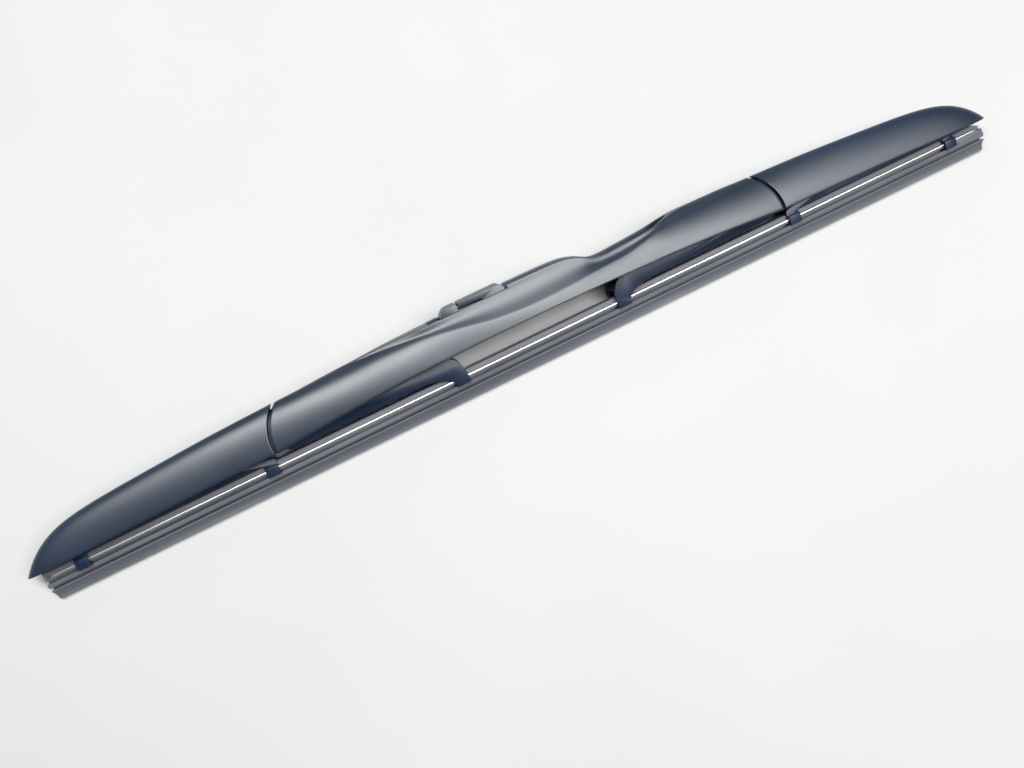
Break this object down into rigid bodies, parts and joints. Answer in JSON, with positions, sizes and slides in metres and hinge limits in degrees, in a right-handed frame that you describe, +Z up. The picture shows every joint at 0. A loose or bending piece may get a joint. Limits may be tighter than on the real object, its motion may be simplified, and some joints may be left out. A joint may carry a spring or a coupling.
{
  "type": "windscreen wiper blade",
  "caption": "Covered wiper blade with a scooped arm bay, clip-in adapter, steel levers with claws and a railed rubber strip, lying on its side.",
  "frame": {"origin": "on the surface the blade lies on, under the middle of its overall box", "axes": "+X along the blade, towards the end where the rubber's groove is closed; +Z up from the surface; the spine and the adapter point to +Y"},
  "size_m": [0.4124, 0.0348, 0.0206],
  "materials": {
    "cover_plastic": "satin moulded, blue-black",
    "clip_plastic": "satin moulded, dark grey-blue",
    "lever_metal": "satin powder coat, blue-black",
    "pin_steel": "turned",
    "rail_steel": "bright drawn spring steel",
    "rubber": "extruded, dusty at the lip"
  },
  "bodies": {
    "root": {"centre_cover": "cover_plastic", "primary_lever": "lever_metal", "adapter_rivet": "pin_steel", "left_pivot_bush": "clip_plastic", "right_pivot_bush": "clip_plastic", "rubber_blade": "rubber", "front_rail": "rail_steel", "back_rail": "rail_steel"},
    "adapter": {"adapter": "clip_plastic"},
    "left_lever": {"left_lever": "lever_metal", "left_end_cover": "cover_plastic", "left_pivot_pin": "pin_steel", "left_yoke_pin": "pin_steel"},
    "right_lever": {"right_lever": "lever_metal", "right_end_cover": "cover_plastic", "right_pivot_pin": "pin_steel", "right_yoke_pin": "pin_steel"},
    "left_yoke": {"left_yoke": "lever_metal", "left_yoke_bush": "clip_plastic"},
    "right_yoke": {"right_yoke": "lever_metal", "right_yoke_bush": "clip_plastic"}
  },
  "joints": [
    {"name": "left_lever_pivot", "type": "hinge", "parent": "root", "child": "left_lever", "pos_m": [-0.1025, 0.00095, 0.00943], "axis": [0, 0.4124, -0.911], "range_deg": [-2.5, 2.5], "stiffness_Nm_per_rad": 1, "deforming": ["rubber_blade", "front_rail", "back_rail"]},
    {"name": "right_lever_pivot", "type": "hinge", "parent": "root", "child": "right_lever", "pos_m": [0.1025, 0.00095, 0.00943], "axis": [0, 0.4124, -0.911], "range_deg": [-2.5, 2.5], "stiffness_Nm_per_rad": 1, "deforming": ["rubber_blade", "front_rail", "back_rail"]},
    {"name": "left_yoke_pivot", "type": "hinge", "parent": "left_lever", "child": "left_yoke", "pos_m": [-0.14925, -0.00133, 0.0084], "axis": [0, 0.4124, -0.911], "range_deg": [-3.5, 3.5], "stiffness_Nm_per_rad": 1, "deforming": ["rubber_blade", "front_rail", "back_rail"]},
    {"name": "right_yoke_pivot", "type": "hinge", "parent": "right_lever", "child": "right_yoke", "pos_m": [0.14925, -0.00133, 0.0084], "axis": [0, 0.4124, -0.911], "range_deg": [-3.5, 3.5], "stiffness_Nm_per_rad": 1, "deforming": ["rubber_blade", "front_rail", "back_rail"]},
    {"name": "adapter_pivot", "type": "hinge", "parent": "root", "child": "adapter", "pos_m": [-0.014, 0.00559, 0.01154], "axis": [0, 0.4124, -0.911], "range_deg": [-12, 12]}
  ]
}
